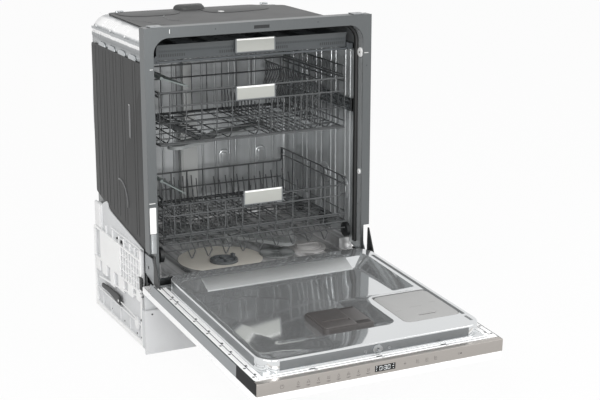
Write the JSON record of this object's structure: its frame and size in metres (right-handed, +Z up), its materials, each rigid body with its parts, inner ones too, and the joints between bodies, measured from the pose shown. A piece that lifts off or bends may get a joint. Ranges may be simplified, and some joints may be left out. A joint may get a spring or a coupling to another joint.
{
  "type": "built in dishwasher",
  "caption": "Fully integrated under-counter dishwasher with drop-down door, cutlery tray, two wire baskets on runners, spray arms, dispenser and levelling feet.",
  "frame": {"origin": "centre of the bounding box at floor level, below the middle of the whole appliance with its door let down", "axes": "+X to the right seen from the front, +Y from the door into the cabinet, +Z up"},
  "size_m": [0.598, 1.0782, 0.8193],
  "materials": {
    "frame_steel": "dark satin steel flange",
    "tub_steel": "bright rolled stainless",
    "liner_steel": "mirror-bright stainless liner",
    "rail_steel": "bright zinc-plated steel",
    "door_steel": "grey galvanised steel",
    "fascia_steel": "warm grey brushed fascia",
    "hinge_steel": "galvanised steel",
    "bitumen": "dark bitumen mat with a satin foil",
    "seal_rubber": "black extruded rubber",
    "base_plastic": "white plastic",
    "plinth_paint": "white painted steel",
    "skin_white": "white painted panel",
    "black_plastic": "black plastic",
    "display_black": "gloss black window with pale digits",
    "dispenser_plastic": "dark brown-grey plastic",
    "lid_plastic": "light grey plastic",
    "strip_satin": "satin stainless",
    "wire_grey": "dark grey nylon-coated wire",
    "rack_plastic": "dark grey plastic",
    "tray_plastic": "mid grey plastic",
    "handle_white": "pale pearl handle plate with grey edges",
    "arm_plastic": "grey plastic",
    "duct_plastic": "grey plastic",
    "filter_plastic": "beige grey plastic",
    "cup_plastic": "grey plastic",
    "pump_plastic": "grey plastic",
    "wheel_plastic": "black plastic",
    "cap_white": "white plastic cap",
    "cable_grey": "pale grey insulated harness",
    "weight_iron": "plain cast block"
  },
  "bodies": {
    "cabinet": {"front_frame": "frame_steel", "door_seal": "seal_rubber", "tub_shell": "tub_steel", "tub_floor": "tub_steel", "bitumen_mats": "bitumen", "base_tray": "base_plastic", "plinth": "plinth_paint", "hinge_plates": "hinge_steel", "feed_duct": "duct_plastic", "screw_caps": "cap_white", "latch_strike": "black_plastic", "worktop_clips": "rail_steel", "outer_rails": "rail_steel", "ceiling_sprayer": "arm_plastic", "filter_plate": "filter_plastic", "sump": "pump_plastic", "circulation_pump": "pump_plastic", "drain_pump": "black_plastic", "softener": "base_plastic", "inlet_valve": "cap_white", "harness_cable": "cable_grey", "counterweight": "weight_iron"},
    "filter": {"filter_cup": "cup_plastic"},
    "salt_cap": {"salt_cap": "filter_plastic"},
    "foot_fl": {"foot_front_left": "black_plastic"},
    "foot_fr": {"foot_front_right": "black_plastic"},
    "feet_rear": {"feet_rear": "black_plastic"},
    "low_arm": {"lower_spray_arm": "arm_plastic"},
    "link_left": {"balance_link_left": "black_plastic"},
    "link_right": {"balance_link_right": "black_plastic"},
    "door": {"outer_door": "door_steel", "inner_liner": "liner_steel", "door_skin": "skin_white", "control_fascia": "fascia_steel", "end_caps": "black_plastic", "display_window": "display_black", "latch": "rail_steel", "dispenser_body": "dispenser_plastic", "hinge_arms": "hinge_steel", "threshold_strip": "strip_satin", "door_wedges": "rack_plastic"},
    "dispenser_lid": {"dispenser_lid": "dispenser_plastic"},
    "tank_lid": {"tank_lid": "lid_plastic"},
    "tray": {"cutlery_frame": "rack_plastic", "cutlery_insert": "tray_plastic", "tray_handle": "handle_white"},
    "mid": {"mid_basket": "wire_grey", "mid_guard": "wire_grey", "mid_handle": "handle_white"},
    "mid_tines": {"mid_tines": "wire_grey"},
    "mid_shelf": {"mid_shelf": "rack_plastic"},
    "mid_arm": {"mid_spray_arm": "arm_plastic"},
    "mid_rails": {"mid_rail_members": "rail_steel"},
    "low": {"low_basket": "wire_grey", "low_handle": "handle_white"},
    "low_tines": {"low_tines": "wire_grey"},
    "low_shelf": {"low_shelf": "rack_plastic"},
    "wheels_front": {"wheels_front": "wheel_plastic"},
    "wheels_middle": {"wheels_middle": "wheel_plastic"},
    "wheels_rear": {"wheels_rear": "wheel_plastic"}
  },
  "joints": [
    {"name": "door_hinge", "type": "hinge", "parent": "cabinet", "child": "door", "pos_m": [0, 0.0762, 0.201], "axis": [1, 0, 0], "range_deg": [-92.75, 0]},
    {"name": "link_left_slide", "type": "slide", "parent": "cabinet", "child": "link_left", "axis": [0, 1, 0], "range_m": [0, 0.034]},
    {"name": "link_right_slide", "type": "slide", "parent": "cabinet", "child": "link_right", "axis": [0, 1, 0], "range_m": [0, 0.034]},
    {"name": "tray_slide", "type": "slide", "parent": "cabinet", "child": "tray", "axis": [0, -1, 0], "range_m": [0, 0.33]},
    {"name": "mid_slide", "type": "slide", "parent": "cabinet", "child": "mid", "axis": [0, -1, 0], "range_m": [0, 0.34]},
    {"name": "mid_rail_slide", "type": "slide", "parent": "cabinet", "child": "mid_rails", "axis": [0, -1, 0], "range_m": [0, 0.17]},
    {"name": "low_slide", "type": "slide", "parent": "cabinet", "child": "low", "axis": [0, -1, 0], "range_m": [0, 0.36]},
    {"name": "wheel_front_roll", "type": "hinge", "parent": "low", "child": "wheels_front", "pos_m": [0, 0.1242, 0.2563], "axis": [1, 0, 0], "range_deg": [0, 1090]},
    {"name": "wheel_middle_roll", "type": "hinge", "parent": "low", "child": "wheels_middle", "pos_m": [0, 0.2532, 0.2563], "axis": [1, 0, 0], "range_deg": [0, 1090]},
    {"name": "wheel_rear_roll", "type": "hinge", "parent": "low", "child": "wheels_rear", "pos_m": [0, 0.3972, 0.2563], "axis": [1, 0, 0], "range_deg": [0, 1090]},
    {"name": "low_arm_spin", "type": "hinge", "parent": "cabinet", "child": "low_arm", "pos_m": [0, 0.3032, 0.23], "axis": [0, 0, 1], "continuous": true},
    {"name": "mid_arm_spin", "type": "hinge", "parent": "mid", "child": "mid_arm", "pos_m": [-0.024, 0.3032, 0.497], "axis": [0, 0, 1], "continuous": true},
    {"name": "low_tines_fold", "type": "hinge", "parent": "low", "child": "low_tines", "pos_m": [0.124, 0.2722, 0.2869], "axis": [1, 0, 0], "range_deg": [0, 86]},
    {"name": "mid_tines_fold", "type": "hinge", "parent": "mid", "child": "mid_tines", "pos_m": [0.064, 0.3042, 0.5309], "axis": [0, 1, 0], "range_deg": [0, 86]},
    {"name": "mid_shelf_fold", "type": "hinge", "parent": "mid", "child": "mid_shelf", "pos_m": [-0.241, 0.2682, 0.69], "axis": [0, 1, 0], "range_deg": [0, 66]},
    {"name": "low_shelf_fold", "type": "hinge", "parent": "low", "child": "low_shelf", "pos_m": [-0.241, 0.2162, 0.436], "axis": [0, -1, 0], "range_deg": [0, 115]},
    {"name": "dispenser_lid_slide", "type": "slide", "parent": "door", "child": "dispenser_lid", "axis": [1, 0, 0], "range_m": [0, 0.04]},
    {"name": "tank_lid_hinge", "type": "hinge", "parent": "door", "child": "tank_lid", "pos_m": [0.1825, -0.27767, 0.21063], "axis": [-1, 0, 0], "range_deg": [0, 95]},
    {"name": "filter_turn", "type": "hinge", "parent": "cabinet", "child": "filter", "pos_m": [-0.068, 0.1702, 0.2], "axis": [0, 0, 1], "range_deg": [0, 45]},
    {"name": "salt_cap_turn", "type": "hinge", "parent": "cabinet", "child": "salt_cap", "pos_m": [0.172, 0.1822, 0.2], "axis": [0, 0, 1], "range_deg": [0, 90]},
    {"name": "foot_front_left_height", "type": "slide", "parent": "cabinet", "child": "foot_fl", "axis": [0, 0, -1], "range_m": [0, 0.05]},
    {"name": "foot_front_right_height", "type": "slide", "parent": "cabinet", "child": "foot_fr", "axis": [0, 0, -1], "range_m": [0, 0.05]},
    {"name": "foot_rear_height", "type": "slide", "parent": "cabinet", "child": "feet_rear", "axis": [0, 0, -1], "range_m": [0, 0.05]}
  ],
  "couplings": [
    {"joint": "link_left_slide", "follows": "door_hinge", "m_per_rad": -0.021},
    {"joint": "link_right_slide", "follows": "door_hinge", "m_per_rad": -0.021},
    {"joint": "mid_rail_slide", "follows": "mid_slide", "ratio": 0.5},
    {"joint": "wheel_front_roll", "follows": "low_slide", "rad_per_m": 52.632},
    {"joint": "wheel_middle_roll", "follows": "low_slide", "rad_per_m": 52.632},
    {"joint": "wheel_rear_roll", "follows": "low_slide", "rad_per_m": 52.632}
  ]
}
